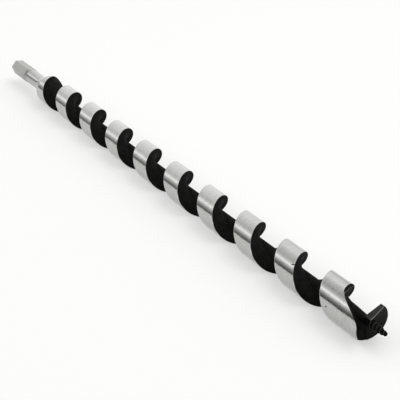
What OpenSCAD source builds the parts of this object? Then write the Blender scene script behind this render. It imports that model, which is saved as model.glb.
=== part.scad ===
// Auger bit for wood: hexagon shank, single right-hand twist, cutting lip, scoring spur and lead screw.
// The bit lies along +X with its point forward. The origin is the centre of the shank's rear end.

/* [Shank] */
// Width of the hexagon across its flats
hex_af = 9.5; // [9:0.1:10]
// Direction that one flat faces, from +Y towards +Z
hex_angle = 22; // [0:1:59]
// Length of the hexagon, up to where its flats begin to run out
hex_l = 24.5; // [15:0.5:50]
// Length of the slope from a flat up to the neck
runout_l = 5; // [2:0.5:8]
// Chamfer on the rear edge of each flat
end_chamfer = 0.7; // [0.3:0.1:1.5]
// Distance from the small shoulder at the end of the hexagon to the full neck
shoulder_back = 0.4; // [0.2:0.1:1]
// Diameter of the round neck
neck_d = 10.2; // [10:0.1:10.8]
// Length of the round neck
neck_l = 18.5; // [8:0.5:40]

/* [Twist] */
// Diameter of the hole that the bit cuts
bit_d = 20; // [18:0.5:26]
// Length of the twist with its flare, up to its flat front end
twist_l = 397; // [250:0.5:500]
// Length of the flare from the neck to the full diameter
flare_l = 16; // [12:1:30]
// Advance of the spiral in one turn
pitch = 40.5; // [34:0.5:50]
// Width of the ground land, measured along the bit
land_w = 17.3; // [12:0.1:18]
// Diameter of the solid centre
core_d = 4.6; // [4:0.1:6]
// Length along the bit over which a flute wall curves into the centre
wall_run = 4; // [3:0.1:7]
// Distance from the rear end of the twist to where the flute begins
flute_start = 4; // [2:0.5:15]
// Length over which the flute deepens from there
flute_runout_l = 50; // [25:1:60]

/* [Cutting lip] */
// Direction of the lip's edge, from +Y towards +Z
lip_angle = 35; // [0:1:359]
// Angle by which the lip's outer end stands ahead of the land's rear edge
lip_overhang = 26; // [10:1:40]
// Height of the lip above the front end of the twist
lip_h = 4.4; // [3.5:0.1:6]
// Height of the underside of the lip at its outer end, past the land
lip_under_h = 1.3; // [0:0.1:2.5]
// Height of the clearance face where it ends behind the lip
lip_heel_h = 0.4; // [0.2:0.1:1]
// Angle that the clearance face covers behind the lip
lip_arc = 138; // [100:1:145]
// How hollow the clearance face falls away behind the lip: 1 is straight
lip_hollow = 1.5; // [1:0.1:2]
// Gap between the lip and the thread of the lead screw
lip_screw_gap = 0.15; // [0.1:0.05:0.4]

/* [Scoring spur] */
// Height of the spur above the front end of the twist
spur_h = 6.1; // [3:0.1:8]
// Angle over which the spur runs along the front edge of the land
spur_arc = 116; // [100:1:150]
// Angle over which its back rises from the land's edge
spur_rise_arc = 62; // [40:1:80]
// Angle over which its front slopes down
spur_lead_arc = 22; // [10:1:30]
// Height of the spur's front end
spur_lead_h = 1.2; // [0.5:0.1:2]
// Height of the spur's back end above the land's edge
spur_toe_h = 0.3; // [0.2:0.05:0.6]

/* [Lead screw] */
// Length of the threaded point
screw_l = 15; // [10:0.5:24]
// Advance of the thread in one turn
thread_pitch = 2.4; // [1.8:0.1:4]
// Height of the thread above its root
thread_h = 0.8; // [0.4:0.05:0.9]
// Diameter of the point's blunt end
point_d = 2; // [1:0.1:2.5]
// Diameter of the plain stem inside the solid centre
stem_d = 2.6; // [2:0.1:3]
// Length of the plain stem inside the twist
stem_l = 14; // [8:1:20]

/* [Fits] */
// Diameter of the shank's spigot
spigot_d = 6; // [5:0.1:8]
// Length of the shank's spigot
spigot_l = 14; // [8:1:20]
// Radial clearance of the spigot and the stem in their bores
bore_gap = 0.08; // [0.03:0.01:0.12]
// Free depth at the bottom of both bores
bore_relief = 0.5; // [0.2:0.1:1]

/* [Hidden] */
$fn = 96;

bright_steel = "#c4c4c2";
black_steel = "#2a2a2c";

bit_r = bit_d / 2;
core_r = core_d / 2;
neck_r = neck_d / 2;
spigot_r = spigot_d / 2;
stem_r = stem_d / 2;
flats = 6;
flat_r = hex_af / 2;
corner_r = flat_r / cos(180 / flats);
stock_r = corner_r / cos(180 / flats);

// Places along the bit
runout_x = hex_l;
neck_x = runout_x + runout_l;
bevel_x = runout_x - shoulder_back;
shoulder_x = neck_x - shoulder_back;
twist_x = neck_x + neck_l;
front_x = twist_x + twist_l;

// The spiral: angles are about +X from +Y towards +Z, and the land lies behind its rear edge
deg_per_mm = 360 / pitch;
land_arc = land_w * deg_per_mm;
wall_arc = wall_run * deg_per_mm;
floor_arc = 360 - land_arc - 2 * wall_arc;
lip_outer_angle = lip_angle + asin(core_r / bit_r);
rear_edge_angle = lip_outer_angle - lip_overhang;

// Steps of the facets: in the cross-section of the twist, along its length, and in the other pieces
land_steps = 8;
wall_steps = 4;
floor_steps = 5;
steps_per_turn = 22;
lip_steps = 14;
thread_sides = 16;
thread_steps = 8;
rings = ceil(twist_l / pitch * steps_per_turn);
ring_dx = twist_l / rings;
ring_arc = ring_dx * deg_per_mm;

// A faceted bore is opened by this, so that the middle of each facet clears a round pin
widest_step = max(land_arc / land_steps, wall_arc / 2, floor_arc / floor_steps);
facet_open = 1 / cos(widest_step / 2);

function mix(a, b, s) = a + (b - a) * s;
function clamp01(s) = min(1, max(0, s));
function ease(s) = let (c = clamp01(s)) c * c * (3 - 2 * c);
function at(x, r, angle) = [x, r * cos(angle), r * sin(angle)];

// Cross-section of the twist as [angle behind the land's rear edge, share of the full depth]:
// the land, the flute's wall ahead of it, the solid centre, and the next turn's wall
section = concat(
    [for (i = [0 : land_steps]) [land_arc * i / land_steps, 0]],
    [for (i = [1 : wall_steps])
        let (f = 90 * i / wall_steps) [land_arc + wall_arc * (1 - cos(f)), sin(f)]],
    [for (i = [1 : floor_steps]) [land_arc + wall_arc + floor_arc * i / floor_steps, 1]],
    [for (i = [wall_steps - 1 : -1 : 1])
        let (f = 90 * i / wall_steps) [360 - wall_arc * (1 - cos(f)), sin(f)]]
);

function turn(x) = rear_edge_angle + (x - front_x) * deg_per_mm;
function flare_r(x) = mix(neck_r, bit_r, ease((x - twist_x) / flare_l));
function flute_depth(x) = (bit_r - core_r) * ease((x - twist_x - flute_start) / flute_runout_l);
function twist_point(x, s) = at(x, min(flare_r(x), bit_r - flute_depth(x) * s[1]), turn(x) - s[0]);
function twist_ring(x) = [for (s = section) twist_point(x, s)];
function bore_ring(x, mouth_x, r) = [for (s = section) at(x, r * facet_open, turn(mouth_x) - s[0])];

// Skin of a solid through closed rings with equal numbers of points, flat at both ends.
// Halving its quads the other way lets a neighbour with the same points lie on it face to face.
module skin(loops, other_way = false) {
    n = len(loops[0]);
    last = len(loops) - 1;
    sides = [
        for (i = [0 : last - 1])
            for (k = [0 : n - 1])
                let (a = i * n + k, b = i * n + (k + 1) % n, c = b + n, d = a + n)
                    each other_way ? [[a, b, d], [b, c, d]] : [[a, b, c], [a, c, d]]
    ];
    rear = [for (k = [n - 1 : -1 : 0]) k];
    front = [for (k = [0 : n - 1]) last * n + k];
    polyhedron([for (loop = loops) each loop], concat(sides, [rear, front]));
}

// The turned outline of the shank before milling, as [radius, place along the bit]
shank_outline = [
    [0, 0],
    [stock_r, 0],
    [stock_r, shoulder_x],
    [neck_r, shoulder_x],
    [neck_r, twist_x],
    [spigot_r, twist_x],
    [spigot_r, twist_x + spigot_l],
    [0, twist_x + spigot_l],
];

// A straight milling cut across the shank, from its side view as [place along the bit, height]
module milled(side_view) {
    rotate([90, 0, 0])
        linear_extrude(4 * stock_r, center = true)
            polygon(side_view);
}

// What is milled away above one flat: a chamfer at the rear, the flat, and its slope up to the neck
module flat_cut() {
    end_x = neck_x + runout_l;
    milled([
        [-end_chamfer, flat_r - 2 * end_chamfer],
        [end_chamfer, flat_r],
        [runout_x, flat_r],
        [end_x, 2 * neck_r - flat_r],
        [end_x, 2 * stock_r],
        [-end_chamfer, 2 * stock_r],
    ]);
}

// What is milled away above one corner, so that it slopes down to the neck
function bevel_r(x) = mix(corner_r, neck_r, (x - bevel_x) / (neck_x - bevel_x));
module corner_cut() {
    start_x = bevel_x - runout_l;
    end_x = (shoulder_x + neck_x) / 2;
    milled([
        [start_x, bevel_r(start_x)],
        [end_x, bevel_r(end_x)],
        [end_x, 2 * stock_r],
        [start_x, 2 * stock_r],
    ]);
}

// Hexagon drive, round neck, and the spigot that centres the twist
module shank() {
    flat_step = 360 / flats;
    color(bright_steel)
        difference() {
            rotate([0, 90, 0]) rotate_extrude() polygon(shank_outline);
            for (i = [0 : flats - 1]) {
                rotate([hex_angle - 90 + i * flat_step, 0, 0]) flat_cut();
                rotate([hex_angle - 90 + (i + 0.5) * flat_step, 0, 0]) corner_cut();
            }
        }
}

// Flare and one spiral round a solid centre, with a blind bore at each end
module twist() {
    spigot_bore_r = spigot_r + bore_gap;
    stem_bore_r = stem_r + bore_gap;
    color(black_steel)
        skin(concat(
            [bore_ring(twist_x + spigot_l + bore_relief, twist_x, spigot_bore_r)],
            [bore_ring(twist_x, twist_x, spigot_bore_r)],
            [for (i = [0 : rings]) twist_ring(twist_x + i * ring_dx)],
            [bore_ring(front_x, front_x, stem_bore_r)],
            [bore_ring(front_x - stem_l - bore_relief, front_x, stem_bore_r)]
        ));
}

// Cutter on the flat front end: its edge touches the solid centre's circle, its heel is radial,
// and its underside rises where it reaches out past the land
module cutting_lip() {
    inner_r = core_r + lip_screw_gap;
    color(black_steel)
        skin([
            for (i = [0 : lip_steps])
                let (
                    s = i / lip_steps,
                    heel_angle = lip_angle - lip_arc * (1 - s),
                    inner = heel_angle + asin(core_r * s / inner_r),
                    outer = heel_angle + asin(core_r / bit_r),
                    past_land = clamp01((outer - rear_edge_angle) / lip_overhang),
                    top_x = front_x + mix(lip_heel_h, lip_h, pow(s, lip_hollow))
                )
                    [at(front_x, inner_r, inner), at(front_x + lip_under_h * past_land, bit_r, outer),
                     at(top_x, bit_r, outer), at(top_x, inner_r, inner)]
        ]);
}

// Height of the spur's edge along the bit, at an angle before its front end
function spur_top(x, before) =
    before < spur_lead_arc
        ? front_x + mix(spur_lead_h, spur_h, before / spur_lead_arc)
        : mix(x + spur_toe_h, front_x + spur_h, ease((spur_arc - before) / spur_rise_arc));

// Side cutter that stands on the flute's wall along the land's front edge, bevelled on the inside
module scoring_spur() {
    rim = section[land_steps];
    wall = section[land_steps + 1];
    foot = section[land_steps + 2];
    stations = round(spur_arc / ring_arc);
    color(black_steel)
        skin([
            for (i = [stations : -1 : 0])
                let (x = front_x - i * ring_dx, edge = twist_point(x, rim))
                    [edge, [spur_top(x, i * ring_arc), edge.y, edge.z], twist_point(x, foot),
                     twist_point(x, wall)]
        ], other_way = true);
}

// Root of the thread, and how far it stands out at a place along it and an angle about it.
// The thread keeps its height along most of the point and fades at its end.
thread_fade = 4;
function root_r(s) = mix(core_r - thread_h, point_d / 2, s);
function ridge(x, angle) = let (f = x / thread_pitch - angle / 360) 1 - abs(2 * (f - floor(f)) - 1);
function thread_r(s, angle) = root_r(s) + thread_h * (1 - pow(s, thread_fade)) * ridge(s * screw_l, angle);

// Tapered, threaded point on a plain stem
module lead_screw() {
    steps = ceil(screw_l / thread_pitch * thread_steps);
    sides = [for (k = [0 : thread_sides - 1]) -360 * k / thread_sides];
    color(black_steel)
        skin(concat(
            [for (x = [front_x - stem_l, front_x]) [for (angle = sides) at(x, stem_r, angle)]],
            [for (i = [0 : steps])
                let (s = i / steps)
                    [for (angle = sides) at(front_x + s * screw_l, thread_r(s, angle), angle)]]
        ));
}

shank();
twist();
cutting_lip();
scoring_spur();
lead_screw();
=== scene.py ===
"""Auger bit for wood, dressed over its CAD frame: a bright hexagon shank, a black right-hand flute whose
land is ground bright, a cutting lip, a scoring spur and a threaded lead point."""
from math import asin, atan2, cos, hypot, pi, radians, sin, tau

import bmesh
import bpy
from mathutils import Matrix, Vector


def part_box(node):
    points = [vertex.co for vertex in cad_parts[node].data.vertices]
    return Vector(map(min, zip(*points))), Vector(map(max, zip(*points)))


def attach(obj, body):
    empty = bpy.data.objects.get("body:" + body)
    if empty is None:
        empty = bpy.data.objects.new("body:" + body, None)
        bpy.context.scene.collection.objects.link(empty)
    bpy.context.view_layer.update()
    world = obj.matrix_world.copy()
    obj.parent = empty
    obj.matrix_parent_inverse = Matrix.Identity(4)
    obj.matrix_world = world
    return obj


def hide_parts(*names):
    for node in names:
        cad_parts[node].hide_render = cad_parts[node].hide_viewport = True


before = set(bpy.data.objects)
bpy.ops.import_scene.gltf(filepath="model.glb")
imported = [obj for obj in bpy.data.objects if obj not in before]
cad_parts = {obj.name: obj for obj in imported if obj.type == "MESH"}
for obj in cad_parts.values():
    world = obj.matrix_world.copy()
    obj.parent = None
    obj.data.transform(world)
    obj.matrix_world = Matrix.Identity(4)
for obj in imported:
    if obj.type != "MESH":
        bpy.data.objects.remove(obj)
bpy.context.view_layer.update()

# Sizes in metres. The bit lies along +X, and angles turn about +X from +Y towards +Z.
MM = 0.001
HAIR_INSIDE_BOX = 0.9998
TWIST_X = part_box("twist")[0].x
FRONT_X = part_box("twist")[1].x
TIP_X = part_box("lead_screw")[1].x
BIT_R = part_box("twist")[1].y * HAIR_INSIDE_BOX

# Points nearer than this are one: in a finished piece, where swept parts meet, and on a plane that cuts
SAME_POINT = 0.0005 * MM
SAME_POINT_OF_SWEEP = 0.002 * MM
ON_CUT = 0.0001 * MM

# Faces that meet at more than this have a crease between them
SHANK_CREASE = radians(20)
FLUTE_CREASE = radians(30)
THREAD_CREASE = radians(50)

# The hexagon, its slopes and the neck
HEX_FLAT_R = 4.75 * MM
HEX_FLAT_ANGLE = radians(22)
HEX_SIXTH = pi / 3
HEX_POINTS = 12
HEX_CORNER_BLUNT = 0.06 * MM
HEX_END_CHAMFER = 0.7 * MM
FLAT_RUNOUT_X = 24.5 * MM
NECK_X = 29.5 * MM
SHOULDER_BACK = 0.4 * MM
NECK_R = 5.1 * MM
NECK_STEPS = 96

# The twist: its land, the walls of its flute, its solid centre and the flare at its rear
PITCH = 40.5 * MM
CORE_R = 2.3 * MM
LAND_ARC = 17.3 * MM / PITCH * tau
WALL_ARC = 4 * MM / PITCH * tau
FRONT_WALL_ARC = 2.8 * MM / PITCH * tau
FLUTE_DEPTH = BIT_R - CORE_R
FLARE_LENGTH = 16 * MM
FLUTE_START = 4 * MM
FLUTE_DEEPENING = 50 * MM
RINGS_A_TURN = 72
LAND_STEPS = 24
WALL_STEPS = 12
FLOOR_STEPS = 14

# The thicker web behind the lip
WEB_SWELL = 1.6 * MM
WEB_RISE = 22 * MM
WEB_FALL = 14 * MM
WEB_LENGTH = 40 * MM
WEB_FILLET = radians(55)
WEB_SHARE_PAST_FILLET = 0.45

# Edges of the land: rolled at the rear, and broken at the front, with a wide bevel behind the spur
REAR_ROLL_WIDTH = 0.35 * MM
REAR_ROLL_DEPTH = 0.12 * MM
REAR_ROLL_SPAN = 1.2
RIM_BREAK = 0.1 * MM
RIM_BREAK_UNDER_SPUR = 0.004 * MM
RIM_BREAK_RISE = radians(20)
RIM_APART = 0.1 * MM
HOOK_BEVEL = 1.15 * MM
HOOK_BEVEL_SLOPE = 1.3
HOOK_BEVEL_REACH = 1.5 * HOOK_BEVEL
HOOK_BEVEL_ROWS = (0.5, 0.95, 1)
HOOK_BEVEL_SHOWS = 0.12 * MM
HOOK_START = radians(108)
HOOK_RISE = radians(30)
HOOK_FALL = radians(35)
HOOK_END = radians(200)
CREASE_DEPTH = 0.03

# How far below the flare the black coat of the flute starts, and where it covers
COAT_STARTS = 0.02 * MM
COAT_COVERS = 0.05 * MM

# The lip
LIP_ANGLE = radians(35)
LIP_OVERHANG = radians(26)
LIP_HEIGHT = 4.4 * MM
LIP_SETBACK = 0.5 * MM
LIP_UNDERSIDE = 1.1 * MM
LIP_ROOT = 0.5 * MM
LIP_ROOT_START = 0.8
LIP_HEEL = 0.4 * MM
LIP_ARC = radians(138)
LIP_STEPS = 56
LIP_HOLLOW = 1.5
LIP_END_BREAK = 0.18 * MM
LIP_EDGE_WIDTH = 0.26 * MM
# How much wider the cutting edge's light strip is at its inner end, where it is a painted highlight
LIP_GLINT_CORNER = 0.14 * MM
LIP_INNER_R = CORE_R + 0.04 * MM
LIP_TURN = asin(CORE_R / BIT_R)
REAR_EDGE_ANGLE = LIP_ANGLE + LIP_TURN - LIP_OVERHANG

# The spur
SPUR_HEIGHT = 6.1 * MM
SPUR_ARC = radians(116)
SPUR_STEPS = 60
SPUR_RISE_ARC = radians(62)
SPUR_LEAD_ARC = radians(22)
SPUR_LEAD_HEIGHT = 1.2 * MM
SPUR_TOE_HEIGHT = 0.3 * MM
SPUR_OUTSIDE_WITHIN = 0.01 * MM

# The lead screw
THREAD_PITCH = 2.4 * MM
THREAD_HEIGHT = 0.8 * MM
THREAD_ROOT_R = CORE_R - THREAD_HEIGHT
THREAD_STEPS = 32
THREAD_RUN_IN = 2
THREAD_FADE = 4
CREST_STEPS = 8
CREST_FORM = 1.1
WORN_CREST = 0.7
# Crests are worn grey only ahead of this place. Nearer the base they keep the thread's black as painted
# shade
CREST_SHADE_ENDS_X = FRONT_X + 4.5 * MM
SCREW_SUNK = 0.5 * MM
POINT_R = 1 * MM
POINT_LENGTH = 0.4 * MM
POINT_TAPER = 0.3 * MM


def mix(a, b, share):
    return a + (b - a) * share


def clamp(share):
    return min(1, max(0, share))


def ease(share):
    share = clamp(share)
    return share * share * (3 - 2 * share)


def around(x, r, angle):
    """The point at a place along the bit, a distance from its axis and an angle about it."""
    return Vector((x, r * cos(angle), r * sin(angle)))


def wrap(angle, span=tau):
    """The angle less whole spans, so that it lies within half a span of 0."""
    return (angle + span / 2) % span - span / 2


def angle_of(point):
    return atan2(point.z, point.y)


def distance_of(point):
    return hypot(point.y, point.z)


def turn_of(x):
    """Angle of the land's rear edge at a place along the bit."""
    return REAR_EDGE_ANGLE + (x - FRONT_X) / PITCH * tau


# Materials

# The sockets at which a Mix node takes two colours and gives their mixture
MIX_A = 6
MIX_B = 7
MIXED = 2

# Heights of a noise, and of two added together, at which a finish has its darker and its lighter tone
NOISE_LOW = 0.3
NOISE_HIGH = 0.7
TWO_NOISES_LOW = 0.7
TWO_NOISES_HIGH = 1.3

# Turned steel: its darker and lighter tone, and its lowest and highest roughness
TURNED_LOOK = ("#a9a9a7", "#babab8", 0.18, 0.28)

# Strength of the bump that marks and grain give
MARKS_STRENGTH = 0.15

# Black oxide: its weak gloss, and its tone and roughness in the flare
OXIDE_SPECULAR = 0.05
OXIDE_IN_FLARE = "#151514"
OXIDE_IN_FLARE_ROUGHNESS = 0.8

# A brown chip and a dark speck in the land: where, the way each runs, half its length, half its width and
# its colour
SCARS = (
    (around(392.7 * MM, BIT_R, radians(133.4)), Vector((1.87, 0.68, 0.64)),
     1.1 * MM, 0.4 * MM, "#4b3623"),
    (around(426.5 * MM, BIT_R, radians(174.5)), Vector((1.22, 0.05, 0.55)),
     0.72 * MM, 0.42 * MM, "#292725"),
)
# Shares of its half size between which a scar fades out
SCAR_FADES_FROM = 0.75
SCAR_FADES_TO = 1.15


def linear(hex_colour):
    """The linear colour of an sRGB hex value."""
    channels = [int(hex_colour[i:i + 2], 16) / 255 for i in (1, 3, 5)]
    return [c / 12.92 if c <= 0.04045 else ((c + 0.055) / 1.055) ** 2.4 for c in channels] + [1]


def feed(tree, node, feeds):
    """Gives sockets of a node their values, or links them to other nodes' outputs."""
    for socket, value in feeds.items():
        if isinstance(value, bpy.types.NodeSocket):
            tree.links.new(value, node.inputs[socket])
        else:
            node.inputs[socket].default_value = value


def add_node(tree, kind, feeds=None, **settings):
    """A node with its settings and its fed sockets."""
    node = tree.nodes.new(kind)
    for name, value in settings.items():
        setattr(node, name, value)
    feed(tree, node, feeds or {})
    return node


def new_finish(name):
    """An empty material with its node tree and its Principled shader."""
    finish = bpy.data.materials.new(name)
    finish.use_nodes = True
    return finish, finish.node_tree, finish.node_tree.nodes["Principled BSDF"]


def scar_mask(tree, place, middle, way, half_length, half_width):
    """A mask that is 1 inside one small scar on the surface and 0 outside it."""
    turned = way.to_track_quat("X", "Z").to_euler()
    local = add_node(tree, "ShaderNodeMapping",
                     {"Vector": place, "Location": middle, "Rotation": turned,
                      "Scale": (half_length, half_width, half_width)}, vector_type="TEXTURE")
    far = add_node(tree, "ShaderNodeVectorMath", {0: local.outputs[0]}, operation="LENGTH")
    mask = add_node(tree, "ShaderNodeMapRange",
                    {"Value": far.outputs["Value"], "From Min": SCAR_FADES_TO,
                     "From Max": SCAR_FADES_FROM})
    return mask.outputs[0]


def ground_steel():
    """Bare tool steel, ground on its outside: a bright mirror-like band with fine marks that run round the
    bit, a slight waviness that frays its reflections, one brown chip and one dark speck."""
    finish, tree, shader = new_finish("ground_tool_steel")
    place = add_node(tree, "ShaderNodeTexCoord").outputs["Object"]
    # Grinding marks 0.25 mm apart that run 4 mm round the bit, coarser than the real grit, so as to show
    marks_place = add_node(tree, "ShaderNodeMapping",
                           {"Vector": place, "Scale": (1 / (0.25 * MM), 1 / (4 * MM), 1 / (4 * MM))})
    marks = add_node(tree, "ShaderNodeTexNoise",
                     {"Vector": marks_place.outputs[0], "Scale": 1, "Detail": 3})
    # Grain of 0.5 mm where single grits dug in
    grain = add_node(tree, "ShaderNodeTexNoise", {"Vector": place, "Scale": 1 / (0.5 * MM), "Detail": 2})
    marks_and_grain = add_node(tree, "ShaderNodeMath", {0: marks.outputs[0], 1: grain.outputs[0]},
                               operation="ADD")
    marked = add_node(tree, "ShaderNodeMapRange",
                      {"Value": marks_and_grain.outputs[0], "From Min": TWO_NOISES_LOW,
                       "From Max": TWO_NOISES_HIGH})
    # Patches of 6 mm where the wheel bit less, and waves of 3 mm that it left
    patches = add_node(tree, "ShaderNodeTexNoise", {"Vector": place, "Scale": 1 / (6 * MM), "Detail": 2})
    waves = add_node(tree, "ShaderNodeTexNoise", {"Vector": place, "Scale": 1 / (3 * MM), "Detail": 2})
    tone = add_node(tree, "ShaderNodeMix",
                    {"Factor": marked.outputs[0], MIX_A: linear("#a7a7a5"), MIX_B: linear("#c6c6c3")},
                    data_type="RGBA")
    for *scar, colour in SCARS:
        mask = scar_mask(tree, place, *scar)
        tone = add_node(tree, "ShaderNodeMix",
                        {"Factor": mask, MIX_A: tone.outputs[MIXED], MIX_B: linear(colour)},
                        data_type="RGBA")
    gloss = add_node(tree, "ShaderNodeMapRange",
                     {"Value": patches.outputs[0], "To Min": 0.1, "To Max": 0.2})
    waviness = add_node(tree, "ShaderNodeBump", {"Height": waves.outputs[0], "Distance": 0.04 * MM})
    relief = add_node(tree, "ShaderNodeBump",
                      {"Height": marks.outputs[0], "Strength": MARKS_STRENGTH, "Distance": 0.02 * MM,
                       "Normal": waviness.outputs[0]})
    feed(tree, shader, {"Base Color": tone.outputs[MIXED], "Roughness": gloss.outputs[0],
                        "Normal": relief.outputs[0], "Metallic": 1})
    return finish


def machined_steel(name, dark, light, rough_low, rough_high):
    """Bare steel as it left the lathe or the milling cutter: softly bright, with marks across the bit."""
    finish, tree, shader = new_finish(name)
    place = add_node(tree, "ShaderNodeTexCoord").outputs["Object"]
    # Tool marks 0.8 mm apart that run 25 mm across, coarser than the real feed, so as to show
    marks_place = add_node(tree, "ShaderNodeMapping",
                           {"Vector": place, "Scale": (1 / (0.8 * MM), 1 / (25 * MM), 1 / (25 * MM))})
    marks = add_node(tree, "ShaderNodeTexNoise",
                     {"Vector": marks_place.outputs[0], "Scale": 1, "Detail": 3})
    # Clouds of 8 mm where the tool rubbed
    clouds = add_node(tree, "ShaderNodeTexNoise", {"Vector": place, "Scale": 1 / (8 * MM), "Detail": 2})
    marked = add_node(tree, "ShaderNodeMapRange",
                      {"Value": marks.outputs[0], "From Min": NOISE_LOW, "From Max": NOISE_HIGH})
    tone = add_node(tree, "ShaderNodeMix",
                    {"Factor": marked.outputs[0], MIX_A: linear(dark), MIX_B: linear(light)},
                    data_type="RGBA")
    gloss = add_node(tree, "ShaderNodeMapRange",
                     {"Value": clouds.outputs[0], "To Min": rough_low, "To Max": rough_high})
    relief = add_node(tree, "ShaderNodeBump",
                      {"Height": marks.outputs[0], "Strength": MARKS_STRENGTH, "Distance": 0.05 * MM})
    feed(tree, shader, {"Base Color": tone.outputs[MIXED], "Roughness": gloss.outputs[0],
                        "Normal": relief.outputs[0], "Metallic": 1})
    return finish


def black_finish(name, dark, light, rough_low, rough_high):
    """Steel with a black oxide coat over its forged skin: near black, grey where the coat is worn, or
    lighter and darker as painted light and painted shade; matt to satin, with a faint mottle."""
    finish, tree, shader = new_finish(name)
    place = add_node(tree, "ShaderNodeTexCoord").outputs["Object"]
    # Mottle of the forged skin, 3 mm across, and a grain of 0.6 mm
    mottle = add_node(tree, "ShaderNodeTexNoise", {"Vector": place, "Scale": 1 / (3 * MM), "Detail": 4})
    grain = add_node(tree, "ShaderNodeTexNoise", {"Vector": place, "Scale": 1 / (0.6 * MM), "Detail": 2})
    mottled = add_node(tree, "ShaderNodeMapRange",
                       {"Value": mottle.outputs[0], "From Min": NOISE_LOW, "From Max": NOISE_HIGH})
    tone = add_node(tree, "ShaderNodeMix",
                    {"Factor": mottled.outputs[0], MIX_A: linear(dark), MIX_B: linear(light)},
                    data_type="RGBA")
    gloss = add_node(tree, "ShaderNodeMapRange",
                     {"Value": mottle.outputs[0], "To Min": rough_low, "To Max": rough_high})
    relief = add_node(tree, "ShaderNodeBump",
                      {"Height": grain.outputs[0], "Strength": MARKS_STRENGTH, "Distance": 0.1 * MM})
    feed(tree, shader, {"Base Color": tone.outputs[MIXED], "Roughness": gloss.outputs[0],
                        "Normal": relief.outputs[0], "Specular IOR Level": OXIDE_SPECULAR})
    return finish


def flare_steel():
    """Turned steel up to the mouth of the flute and black oxide inside it. The coat ends in a clean line,
    where the flute sinks below the flare."""
    finish = machined_steel("turned_steel_to_black", *TURNED_LOOK)
    tree = finish.node_tree
    shader = tree.nodes["Principled BSDF"]
    turned_tone = shader.inputs["Base Color"].links[0].from_socket
    turned_gloss = shader.inputs["Roughness"].links[0].from_socket
    below = add_node(tree, "ShaderNodeAttribute", attribute_name="below_flare")
    coat = add_node(tree, "ShaderNodeMapRange",
                    {"Value": below.outputs["Fac"], "From Min": COAT_STARTS, "From Max": COAT_COVERS})
    tone = add_node(tree, "ShaderNodeMix",
                    {"Factor": coat.outputs[0], MIX_A: turned_tone, MIX_B: linear(OXIDE_IN_FLARE)},
                    data_type="RGBA")
    gloss = add_node(tree, "ShaderNodeMix",
                     {"Factor": coat.outputs[0], "A": turned_gloss, "B": OXIDE_IN_FLARE_ROUGHNESS})
    bare = add_node(tree, "ShaderNodeMath", {0: 1, 1: coat.outputs[0]}, operation="SUBTRACT")
    feed(tree, shader, {"Base Color": tone.outputs[MIXED], "Roughness": gloss.outputs[0],
                        "Metallic": bare.outputs[0], "Specular IOR Level": OXIDE_SPECULAR})
    return finish


GROUND = ground_steel()
TURNED = machined_steel("turned_steel", *TURNED_LOOK)
FLARE = flare_steel()
# The hexagon, greyer than the turned neck, and its duller slopes, which are also painted darker as painted
# shade
MILLED = machined_steel("milled_steel", "#9c9c99", "#adadaa", 0.34, 0.42)
MILLED_DULL_AND_SHADED = machined_steel("milled_steel_dull_painted_shade", "#7d7d7b", "#8b8b86", 0.4, 0.48)
# Black oxide: matt in the flute and on the thread, and satin on the lip. The lip's front face has a
# lighter copy of it, painted light for the face that catches the light
FLUTE_BLACK = black_finish("black_oxide_steel", "#0f0f0e", "#1c1c1b", 0.72, 0.86)
CUTTER_BLACK = black_finish("black_oxide_cutter", "#111110", "#1c1c1a", 0.42, 0.55)
FACE_BLACK_LIT = black_finish("black_oxide_face_painted_light", "#2e2e2d", "#3e3e3c", 0.4, 0.5)
# The thread has a darker copy of the black, as painted shade in its roots and near its base
THREAD_BLACK_SHADED = black_finish("black_oxide_thread_painted_shade", "#050505", "#0d0d0c", 0.72, 0.86)
# Edges that the wood rubs, grey where the coat is thin, and lighter still as painted highlight; the crease
# is a painted highlight only
THREAD_WORN = black_finish("black_oxide_worn_thread", "#232321", "#383835", 0.42, 0.5)
CREASE_HIGHLIGHT = black_finish("black_oxide_crease_painted_highlight", "#6f6f6c", "#858581", 0.4, 0.5)
EDGE_WORN_AND_GLINT = black_finish("black_oxide_worn_edge_painted_highlight", "#878784", "#a0a09c", 0.35, 0.45)

# Each piece's finishes and where it has them, in the order of its slots. A face starts in the first.
SHANK_FINISHES = (TURNED, MILLED, MILLED_DULL_AND_SHADED)
ON_NECK, ON_HEXAGON, ON_SHADED_SLOPE = range(3)
TWIST_FINISHES = (GROUND, TURNED, FLARE, FLUTE_BLACK, CREASE_HIGHLIGHT)
ON_LAND, BEHIND_FLUTE, AT_MOUTH, IN_FLUTE, ON_CREASE = range(5)
LIP_FINISHES = (CUTTER_BLACK, FACE_BLACK_LIT, EDGE_WORN_AND_GLINT)
ON_CUTTER, ON_FRONT_FACE, ON_CUTTING_EDGE = range(3)
SPUR_FINISHES = (FLUTE_BLACK, GROUND)
INSIDE_SPUR, OUTSIDE_SPUR = range(2)
SCREW_FINISHES = (THREAD_BLACK_SHADED, THREAD_WORN)
ON_THREAD, ON_CREST = range(2)


# Pieces


def everything(bm):
    return [*bm.verts, *bm.edges, *bm.faces]


def of_kind(parts, kind):
    return [part for part in parts if isinstance(part, kind)]


def sweep(bm, angle, steps, advance=0):
    """Sweeps all that a mesh holds about the bit's axis, and along it by an advance at each step."""
    bmesh.ops.spin(bm, geom=everything(bm), cent=(0, 0, 0), axis=(1, 0, 0), dvec=(advance, 0, 0),
                   angle=angle, steps=steps)


def close_ends(bm):
    """Fills the open ends of a mesh and gives the faces that do."""
    open_edges = [edge for edge in bm.edges if edge.is_boundary]
    return bmesh.ops.holes_fill(bm, edges=open_edges, sides=0)["faces"]


def bevel_edge(bm, edge, width, segments):
    """Bevels one edge and gives the new faces."""
    return bmesh.ops.bevel(bm, geom=[edge], offset=width, offset_type="OFFSET", affect="EDGES",
                           segments=segments, profile=0.5, material=-1)["faces"]


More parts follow.
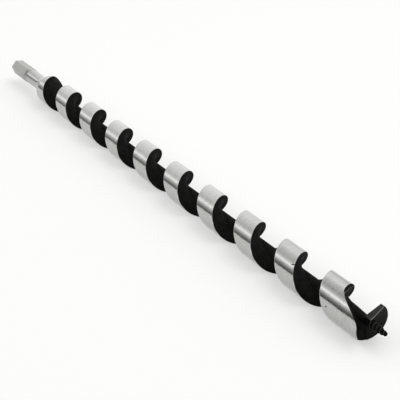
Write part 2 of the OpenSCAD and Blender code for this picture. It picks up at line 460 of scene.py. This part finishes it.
def sharpen(bm, limit):
    """Merges points that fell together and turns the faces outwards. They are smooth, with a crease
    wherever two of them meet at more than the limit."""
    bmesh.ops.remove_doubles(bm, verts=bm.verts, dist=SAME_POINT)
    bmesh.ops.recalc_face_normals(bm, faces=bm.faces)
    for face in bm.faces:
        face.smooth = True
    for edge in bm.edges:
        edge.smooth = edge.is_manifold and edge.calc_face_angle(pi) < limit


def make_piece(bm, name, node, finishes):
    """Turns a finished bmesh into the piece that stands for a CAD node."""
    mesh = bpy.data.meshes.new(name)
    bm.to_mesh(mesh)
    bm.free()
    for finish in finishes:
        mesh.materials.append(finish)
    piece = bpy.data.objects.new(name, mesh)
    bpy.context.scene.collection.objects.link(piece)
    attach(piece, "root")
    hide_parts(node)


def hex_heights(x):
    """Distances from the axis to the flats and to the blunted corners of the hexagon."""
    if x < HEX_END_CHAMFER:
        flat = mix(HEX_FLAT_R - HEX_END_CHAMFER, HEX_FLAT_R, x / HEX_END_CHAMFER)
    else:
        flat = mix(HEX_FLAT_R, NECK_R, max(0, x - FLAT_RUNOUT_X) / (NECK_X - FLAT_RUNOUT_X))
    corner = min(flat, HEX_FLAT_R) / cos(HEX_SIXTH / 2) - HEX_CORNER_BLUNT
    full_corner = HEX_FLAT_R / cos(HEX_SIXTH / 2) - HEX_CORNER_BLUNT
    slope_start = FLAT_RUNOUT_X - SHOULDER_BACK
    sloped = mix(full_corner, NECK_R, (x - slope_start) / (NECK_X - slope_start))
    return flat, min(corner, sloped)


def set_hex_ring(verts, x):
    """Lays twelve points in a ring, two at each blunted corner of the hexagon."""
    flat, corner = hex_heights(x)
    half_width = (flat - corner * cos(HEX_SIXTH / 2)) / sin(HEX_SIXTH / 2)
    for vert in verts:
        sixth = (angle_of(vert.co) - HEX_FLAT_ANGLE) / HEX_SIXTH
        corner_angle = HEX_FLAT_ANGLE + (sixth // 1 + 0.5) * HEX_SIXTH
        side = 1 if sixth % 1 > 0.5 else -1
        vert.co = around(x, hypot(corner, half_width), corner_angle + side * atan2(half_width, corner))


def start_ring(bm, x, r, steps):
    """A ring about the bit's axis, turned so that twelve points would lie two on each flat."""
    ring = bmesh.ops.create_circle(bm, segments=steps, radius=r)["verts"]
    for vert in ring:
        vert.co = around(x, r, atan2(vert.co.y, vert.co.x) + HEX_FLAT_ANGLE + pi / HEX_POINTS)
    return ring


def make_shank():
    """Hexagon with a chamfered end, flats that slope up to the neck and corners that slope down to it, and
    the neck."""
    bm = bmesh.new()
    set_hex_ring(start_ring(bm, 0, HEX_FLAT_R, HEX_POINTS), 0)
    edges = list(bm.edges)
    for x in (HEX_END_CHAMFER, FLAT_RUNOUT_X - SHOULDER_BACK, FLAT_RUNOUT_X, NECK_X - SHOULDER_BACK):
        grown = bmesh.ops.extrude_edge_only(bm, edges=edges)["geom"]
        edges = of_kind(grown, bmesh.types.BMEdge)
        set_hex_ring(of_kind(grown, bmesh.types.BMVert), x)
    hex_faces = set(bm.faces)
    neck_ring = start_ring(bm, NECK_X, NECK_R, NECK_STEPS)
    neck_edges = list({edge for vert in neck_ring for edge in vert.link_edges})
    bmesh.ops.bridge_loops(bm, edges=edges + neck_edges)
    grown = bmesh.ops.extrude_edge_only(bm, edges=neck_edges)["geom"]
    for vert in of_kind(grown, bmesh.types.BMVert):
        vert.co.x = TWIST_X
    close_ends(bm)
    sharpen(bm, SHANK_CREASE)
    for face in hex_faces:
        face.smooth = False
        middle = face.calc_center_median()
        # Every second slope is rougher and painted darker: painted shade on that slope
        from_shaded_slope = wrap(angle_of(middle) - HEX_FLAT_ANGLE, 2 * HEX_SIXTH)
        shaded_slope = middle.x > FLAT_RUNOUT_X and abs(from_shaded_slope) < HEX_SIXTH / 4
        face.material_index = ON_SHADED_SLOPE if shaded_slope else ON_HEXAGON
    make_piece(bm, "shank_turned", "shank", SHANK_FINISHES)


def rim_bevel(x):
    """Width along the bit of the bevel on the land's front edge: none under the spur, ground wide behind
    it, and a mere break along the rest."""
    before = (FRONT_X - x) / PITCH * tau
    swell = ease((before - HOOK_START) / HOOK_RISE) * ease((HOOK_END - before) / HOOK_FALL)
    plain = mix(RIM_BREAK_UNDER_SPUR, RIM_BREAK, ease((before - HOOK_START) / RIM_BREAK_RISE))
    return mix(plain, HOOK_BEVEL, swell)


def web_swell(x, past):
    """How much thicker the web is behind the lip. It is thickest in the corner ahead of the land."""
    before = FRONT_X - x
    along = ease((WEB_LENGTH - before) / WEB_RISE) * ease(before / WEB_FALL)
    return WEB_SWELL * along * mix(WEB_SHARE_PAST_FILLET, 1, ease((WEB_FILLET - past) / WEB_FILLET))


def flute_section():
    """The twist's cross-section: the land, the wall ahead of it, the solid centre and the wall of the next
    turn. Each point has an angle behind the land's rear edge, a share of the full depth, and how far the
    bevel on the front edge moves it back along the bit and inwards."""
    rolled = REAR_ROLL_WIDTH / PITCH * tau
    plain_land = LAND_ARC - HOOK_BEVEL_REACH / PITCH * tau
    floor_start = LAND_ARC + FRONT_WALL_ARC
    floor_arc = tau - floor_start - WALL_ARC
    turned = [pi / 2 * i / WALL_STEPS for i in range(1, WALL_STEPS)]
    wall = [(1 - cos(angle), sin(angle)) for angle in turned]
    section = [(0, REAR_ROLL_DEPTH / FLUTE_DEPTH, 0, 0), (rolled, 0, 0, 0)]
    section += [(mix(REAR_ROLL_SPAN * rolled, plain_land, i / LAND_STEPS), 0, 0, 0)
                for i in range(LAND_STEPS + 1)]
    section += [(mix(plain_land, LAND_ARC, share), 0, share, 0) for share in HOOK_BEVEL_ROWS]
    section += [(LAND_ARC, 0, 0, 1), (LAND_ARC, CREASE_DEPTH, 0, 1 - CREASE_DEPTH)]
    section += [(LAND_ARC + FRONT_WALL_ARC * across, depth, 0, 1 - depth) for across, depth in wall]
    section += [(floor_start + floor_arc * i / FLOOR_STEPS, 1, 0, 0) for i in range(FLOOR_STEPS + 1)]
    section += [(tau - WALL_ARC * across, depth, 0, 0) for across, depth in reversed(wall)]
    return section


def paint_twist(bm, rim, place, below):
    """Gives the twist's faces their finishes. Its land is bright up to the rim, and its flute is black."""
    for face in bm.faces:
        x = face.calc_center_median().x
        places = [vert[place] for vert in face.verts]
        # The strip that closes the section lies between its last place and its first
        strip = min(places) if max(places) - min(places) == 1 else max(places)
        depths = [vert[below] for vert in face.verts]
        hooked = rim_bevel(x) > HOOK_BEVEL_SHOWS
        flared = x < TWIST_X + FLARE_LENGTH
        if strip < rim or (strip == rim and not hooked) or max(depths) < COAT_STARTS:
            face.material_index = BEHIND_FLUTE if flared else ON_LAND
        # The crease behind the wide bevel is a painted highlight: a light grey strip for the line of light
        # it catches
        elif strip == rim + 1 and hooked:
            face.material_index = ON_CREASE
        else:
            face.material_index = AT_MOUTH if flared and min(depths) < COAT_COVERS else IN_FLUTE


def make_twist():
    """One spiral swept along the bit. At the rear the flute runs out into the flare."""
    section = flute_section()
    rim = next(number for number, (_, _, back, _) in enumerate(section) if back == 1)
    ring_gap = PITCH / RINGS_A_TURN
    bm = bmesh.new()
    place = bm.verts.layers.int.new("place_in_section")
    below = bm.verts.layers.float.new("below_flare")
    ring = bmesh.ops.create_circle(bm, segments=len(section), radius=BIT_R)["verts"]
    for number, vert in enumerate(ring):
        behind, depth, _, inward = section[number]
        # Points of the rim lie apart until the turns are joined
        r = BIT_R - FLUTE_DEPTH * depth - RIM_APART * inward
        vert.co = around(FRONT_X, r, turn_of(FRONT_X) - behind)
        vert[place] = number
    sweep(bm, -tau, RINGS_A_TURN, -ring_gap)
    one_turn = everything(bm)
    for turn in range(1, int((FRONT_X - TWIST_X) / PITCH) + 1):
        copied = bmesh.ops.duplicate(bm, geom=one_turn)["geom"]
        bmesh.ops.translate(bm, verts=of_kind(copied, bmesh.types.BMVert), vec=(-PITCH * turn, 0, 0))
    bmesh.ops.remove_doubles(bm, verts=bm.verts, dist=SAME_POINT_OF_SWEEP)
    # The first ring behind the rear end stays, and is moved up to it
    last_x = TWIST_X - ring_gap + SAME_POINT_OF_SWEEP
    bmesh.ops.delete(bm, geom=[vert for vert in bm.verts if vert.co.x < last_x], context="VERTS")
    for vert in bm.verts:
        x = max(vert.co.x, TWIST_X)
        behind, depth, back, inward = section[vert[place]]
        bevel = rim_bevel(x)
        flare_r = mix(NECK_R, BIT_R, ease((x - TWIST_X) / FLARE_LENGTH))
        deepened = ease((x - TWIST_X - FLUTE_START) / FLUTE_DEEPENING)
        sunk = deepened * (FLUTE_DEPTH * depth + bevel * HOOK_BEVEL_SLOPE * inward)
        sunk = min(sunk, FLUTE_DEPTH - web_swell(x, behind - LAND_ARC))
        vert[below] = flare_r - (BIT_R - sunk)
        angle = turn_of(x) - behind + back * bevel / PITCH * tau
        vert.co = around(x, min(flare_r, BIT_R - sunk), angle)
    paint_twist(bm, rim, place, below)
    for face in close_ends(bm):
        face.material_index = IN_FLUTE
    sharpen(bm, FLUTE_CREASE)
    make_piece(bm, "twist_spiral", "twist", TWIST_FINISHES)


def front_face(bm):
    """The lip's flat face behind its cutting edge."""
    ahead = around(0, 1, LIP_ANGLE + pi / 2)
    return max(bm.faces, key=lambda face: face.calc_center_median().dot(ahead))


def make_cutting_lip():
    """Radial cutter: a short upright swept back from its edge. Its top falls away in a hollow to the heel,
    and its root runs down beside the solid centre."""
    bm = bmesh.new()
    corner = bm.verts.layers.int.new("corner_of_upright")
    corners = ((0, LIP_INNER_R), (0, BIT_R), (LIP_HEIGHT, BIT_R), (LIP_HEIGHT, LIP_INNER_R))
    outer_corners = (1, 2)
    top_corners = (2, 3)
    upright = [bm.verts.new(around(FRONT_X + x, r, LIP_ANGLE - LIP_ARC)) for x, r in corners]
    for number, vert in enumerate(upright):
        vert[corner] = number
    bm.faces.new(upright)
    sweep(bm, LIP_ARC, LIP_STEPS)
    for vert in bm.verts:
        behind = wrap(LIP_ANGLE - angle_of(vert.co))
        share = clamp(1 - behind / LIP_ARC)
        outside = vert[corner] in outer_corners
        angle = LIP_ANGLE - behind + (LIP_TURN if outside else asin(CORE_R * share / LIP_INNER_R))
        if vert[corner] in top_corners:
            rise = mix(LIP_HEEL, LIP_HEIGHT - (LIP_SETBACK if outside else 0), share ** LIP_HOLLOW)
        elif outside:
            rise = LIP_UNDERSIDE * clamp((angle - REAR_EDGE_ANGLE) / LIP_OVERHANG)
        else:
            rise = -LIP_ROOT * ease((share - LIP_ROOT_START) / (1 - LIP_ROOT_START))
        vert.co = around(FRONT_X + rise, BIT_R if outside else LIP_INNER_R, angle)
    bmesh.ops.remove_doubles(bm, verts=bm.verts, dist=SAME_POINT_OF_SWEEP)
    bmesh.ops.recalc_face_normals(bm, faces=bm.faces)
    face = front_face(bm)
    # The front face takes the lighter copy of the cutter's black: painted light
    face.material_index = ON_FRONT_FACE
    outer_end = max(face.edges, key=lambda edge: sum(distance_of(vert.co) for vert in edge.verts))
    bevel_edge(bm, outer_end, LIP_END_BREAK, segments=4)
    cutting_edge = max(front_face(bm).edges, key=lambda edge: sum(vert.co.x for vert in edge.verts))
    # The cutting edge is worn grey and also painted lighter as a highlight, widest at its inner end
    for face in bevel_edge(bm, cutting_edge, LIP_EDGE_WIDTH, segments=1):
        face.material_index = ON_CUTTING_EDGE
        inner_end = sorted(face.verts, key=lambda vert: distance_of(vert.co))[:2]
        min(inner_end, key=lambda vert: vert.co.x).co.x -= LIP_GLINT_CORNER
    sharpen(bm, FLUTE_CREASE)
    make_piece(bm, "cutting_lip_ground", "cutting_lip", LIP_FINISHES)


def spur_top(x, before):
    """Height of the spur's edge along the bit, at an angle before its front end."""
    if before < SPUR_LEAD_ARC:
        return FRONT_X + mix(SPUR_LEAD_HEIGHT, SPUR_HEIGHT, before / SPUR_LEAD_ARC)
    return mix(x + SPUR_TOE_HEIGHT, FRONT_X + SPUR_HEIGHT, ease((SPUR_ARC - before) / SPUR_RISE_ARC))


def make_scoring_spur():
    """Side cutter that stands up from the land's front edge, bevelled on the inside."""
    bm = bmesh.new()
    row = bm.verts.layers.int.new("spur_row")
    length = SPUR_ARC / tau * PITCH
    rear_x = FRONT_X - length
    rim_angle = turn_of(rear_x) - LAND_ARC
    # The rim, the edge above it, and two points on the curve of the flute's wall
    corners = []
    for turned in (0, 0, pi / 4, pi / 8):
        r = BIT_R - FLUTE_DEPTH * sin(turned)
        angle = rim_angle - FRONT_WALL_ARC * (1 - cos(turned))
        corners.append(bm.verts.new(around(rear_x, r, angle)))
    corners[1][row] = 1
    corners[1].co.x += SPUR_TOE_HEIGHT
    bm.faces.new(corners)
    sweep(bm, SPUR_ARC, SPUR_STEPS, length / SPUR_STEPS)
    for vert in bm.verts:
        if vert[row]:
            x = vert.co.x - SPUR_TOE_HEIGHT
            vert.co.x = spur_top(x, (FRONT_X - x) / PITCH * tau)
    for face in bm.faces:
        outside = min(distance_of(vert.co) for vert in face.verts) > BIT_R - SPUR_OUTSIDE_WITHIN
        face.material_index = OUTSIDE_SPUR if outside else INSIDE_SPUR
    sharpen(bm, FLUTE_CREASE)
    make_piece(bm, "scoring_spur_ground", "scoring_spur", SPUR_FINISHES)


def make_lead_screw():
    """Tapered point: one pitch of thread swept as a screw, cut off at both ends and drawn in to a tip."""
    bm = bmesh.new()
    profile = []
    for i in range(CREST_STEPS + 1):
        share = i / CREST_STEPS
        rise = 1 - abs(2 * share - 1)
        x = FRONT_X + THREAD_PITCH * (share - THREAD_RUN_IN)
        profile.append(bm.verts.new(around(x, THREAD_ROOT_R + THREAD_HEIGHT * rise ** CREST_FORM, 0)))
    for first, second in zip(profile, profile[1:]):
        bm.edges.new((first, second))
    length = TIP_X - FRONT_X
    turns = int(length / THREAD_PITCH) + THREAD_RUN_IN + 1
    sweep(bm, turns * tau, turns * THREAD_STEPS, THREAD_PITCH / THREAD_STEPS)
    bmesh.ops.remove_doubles(bm, verts=bm.verts, dist=SAME_POINT_OF_SWEEP)
    for cut_x, ahead in ((FRONT_X - SCREW_SUNK, -1), (TIP_X - POINT_LENGTH, 1)):
        bmesh.ops.bisect_plane(bm, geom=everything(bm), dist=ON_CUT, plane_co=(cut_x, 0, 0),
                               plane_no=(ahead, 0, 0), clear_outer=True)
    risen = bm.verts.layers.float.new("rise_of_thread")
    for vert in bm.verts:
        along = clamp((vert.co.x - FRONT_X) / length)
        vert[risen] = (distance_of(vert.co) - THREAD_ROOT_R) / THREAD_HEIGHT
        height = THREAD_HEIGHT * (1 - along ** THREAD_FADE)
        r = mix(THREAD_ROOT_R, POINT_R, along) + height * vert[risen]
        vert.co = around(vert.co.x, r, angle_of(vert.co))
    for face in bm.faces:
        crest = sum(vert[risen] for vert in face.verts) > WORN_CREST * len(face.verts)
        # Crests near the base keep the thread's black: painted shade
        worn_and_lit = crest and face.calc_center_median().x > CREST_SHADE_ENDS_X
        face.material_index = ON_CREST if worn_and_lit else ON_THREAD
    tip = max(close_ends(bm), key=lambda face: face.calc_center_median().x)
    bmesh.ops.recalc_face_normals(bm, faces=bm.faces)
    bmesh.ops.inset_individual(bm, faces=[tip], thickness=POINT_TAPER)
    for vert in tip.verts:
        vert.co.x = TIP_X
    sharpen(bm, THREAD_CREASE)
    make_piece(bm, "lead_screw_threaded", "lead_screw", SCREW_FINISHES)


make_shank()
make_twist()
make_cutting_lip()
make_scoring_spur()
make_lead_screw()


# Stage

# The floor's reach and the strength of its glow
FLOOR_SIZE = 6
FLOOR_GLOW = 0.4

# Brightness of the room's walls against the angle about the bit in degrees, from +Y towards +Z: far behind
# the rear end of the bit, and nearer
FAR_WALLS = ((-180, 0.34), (-8, 0.92), (0, 1.2), (40, 1.24), (58, 1.21), (74, 1.18), (90, 1.11),
             (106, 0.96), (114, 0.89), (122, 0.97), (130, 1.2), (138, 1.72), (146, 1.2), (154, 0.78),
             (162, 0.48), (170, 0.27), (178, 0.11), (180, 0.09))
NEAR_WALLS = ((-180, 0.34), (-8, 0.45), (10, 0.66), (26, 0.97), (42, 1.16), (58, 1.28), (66, 1.15),
              (74, 0.94), (82, 0.8), (90, 0.72), (98, 0.63), (106, 0.52), (114, 0.56), (122, 0.77),
              (130, 1.13), (138, 1.91), (146, 1.09), (154, 0.54), (162, 0.25), (170, 0.1), (178, 0.06),
              (180, 0.06))
# The far walls give way to the nearer ones between these lengths along +X of a direction of length 1
FAR_WALLS_END = -0.805
NEAR_WALLS_START = -0.712


def make_floor():
    """A plain pale sheet under the bit. A little glow keeps it near white and leaves the shadow on it."""
    bm = bmesh.new()
    bmesh.ops.create_grid(bm, x_segments=1, y_segments=1, size=FLOOR_SIZE)
    mesh = bpy.data.meshes.new("floor")
    bm.to_mesh(mesh)
    bm.free()
    mesh.transform(Matrix.Translation((TIP_X / 2, 0, -BIT_R)))
    floor = bpy.data.objects.new("floor", mesh)
    bpy.context.scene.collection.objects.link(floor)
    paper, tree, shader = new_finish("pale_paper")
    path = add_node(tree, "ShaderNodeLightPath")
    seen = add_node(tree, "ShaderNodeMath",
                    {0: path.outputs["Is Camera Ray"], 1: path.outputs["Is Glossy Ray"]}, operation="ADD")
    shown = add_node(tree, "ShaderNodeMath", {0: seen.outputs[0], 1: path.outputs["Is Transmission Ray"]},
                     operation="ADD", use_clamp=True)
    glow = add_node(tree, "ShaderNodeMath", {0: shown.outputs[0], 1: FLOOR_GLOW}, operation="MULTIPLY")
    feed(tree, shader, {"Base Color": linear("#c9c9c8"), "Roughness": 0.9, "Specular IOR Level": 0.1,
                        "Emission Color": linear("#ffffff"), "Emission Strength": glow.outputs[0]})
    mesh.materials.append(paper)


def light_studio():
    """A pale room whose walls run along the bit: bright from behind and above, one bright strip over the
    viewer's shoulder, and a dark side below that strip. Each gives the ground steel one of its stripes."""
    world = bpy.data.worlds.new("studio")
    bpy.context.scene.world = world
    world.use_nodes = True
    tree = world.node_tree
    way = add_node(tree, "ShaderNodeTexCoord")
    parts = add_node(tree, "ShaderNodeSeparateXYZ", {0: way.outputs["Generated"]})
    angle = add_node(tree, "ShaderNodeMath", {0: parts.outputs["Z"], 1: parts.outputs["Y"]},
                     operation="ARCTAN2")
    # A full turn, from half a turn below +Y to half a turn above it, is the length of a ramp
    share = add_node(tree, "ShaderNodeMath", {0: angle.outputs[0], 1: 1 / tau, 2: 0.5},
                     operation="MULTIPLY_ADD")
    shades = []
    for stops in (FAR_WALLS, NEAR_WALLS):
        wall = add_node(tree, "ShaderNodeValToRGB", {0: share.outputs[0]})
        elements = wall.color_ramp.elements
        # A new ramp has its two ends already
        for degrees, _ in stops[1:-1]:
            elements.new(degrees / 360 + 0.5)
        for element, (degrees, level) in zip(elements, stops):
            element.position = degrees / 360 + 0.5
            element.color = (level, level, level, 1)
        shades.append(wall.outputs[0])
    nearness = add_node(tree, "ShaderNodeMapRange",
                        {"Value": parts.outputs["X"], "From Min": FAR_WALLS_END,
                         "From Max": NEAR_WALLS_START})
    room = add_node(tree, "ShaderNodeMix",
                    {"Factor": nearness.outputs[0], MIX_A: shades[0], MIX_B: shades[1]}, data_type="RGBA")
    feed(tree, tree.nodes["Background"], {"Color": room.outputs[MIXED], "Strength": 1})

    lamp = bpy.data.lights.new("softbox", "AREA")
    lamp.shape = "RECTANGLE"
    lamp.size = 0.9
    lamp.size_y = 0.5
    lamp.energy = 1
    softbox = bpy.data.objects.new("softbox", lamp)
    softbox.location = (0.35, 0.35, 1.0)
    towards_bit = Vector((0.3, 0, 0)) - softbox.location
    softbox.rotation_euler = towards_bit.to_track_quat("-Z", "Y").to_euler()
    bpy.context.scene.collection.objects.link(softbox)


def aim_camera():
    """The photograph's viewpoint: near the point end, looking back along the bit from a little above."""
    lens = bpy.data.cameras.new("viewpoint")
    lens.sensor_width = 36
    lens.lens = 113.511
    lens.clip_end = 50
    camera = bpy.data.objects.new("viewpoint", lens)
    camera.location = (0.85472, -0.30486, 0.27374)
    camera.rotation_euler = (radians(66.99605), 0, radians(61.8598))
    bpy.context.scene.collection.objects.link(camera)
    bpy.context.scene.camera = camera


make_floor()
light_studio()
aim_camera()
bpy.context.scene.view_settings.view_transform = "Standard"
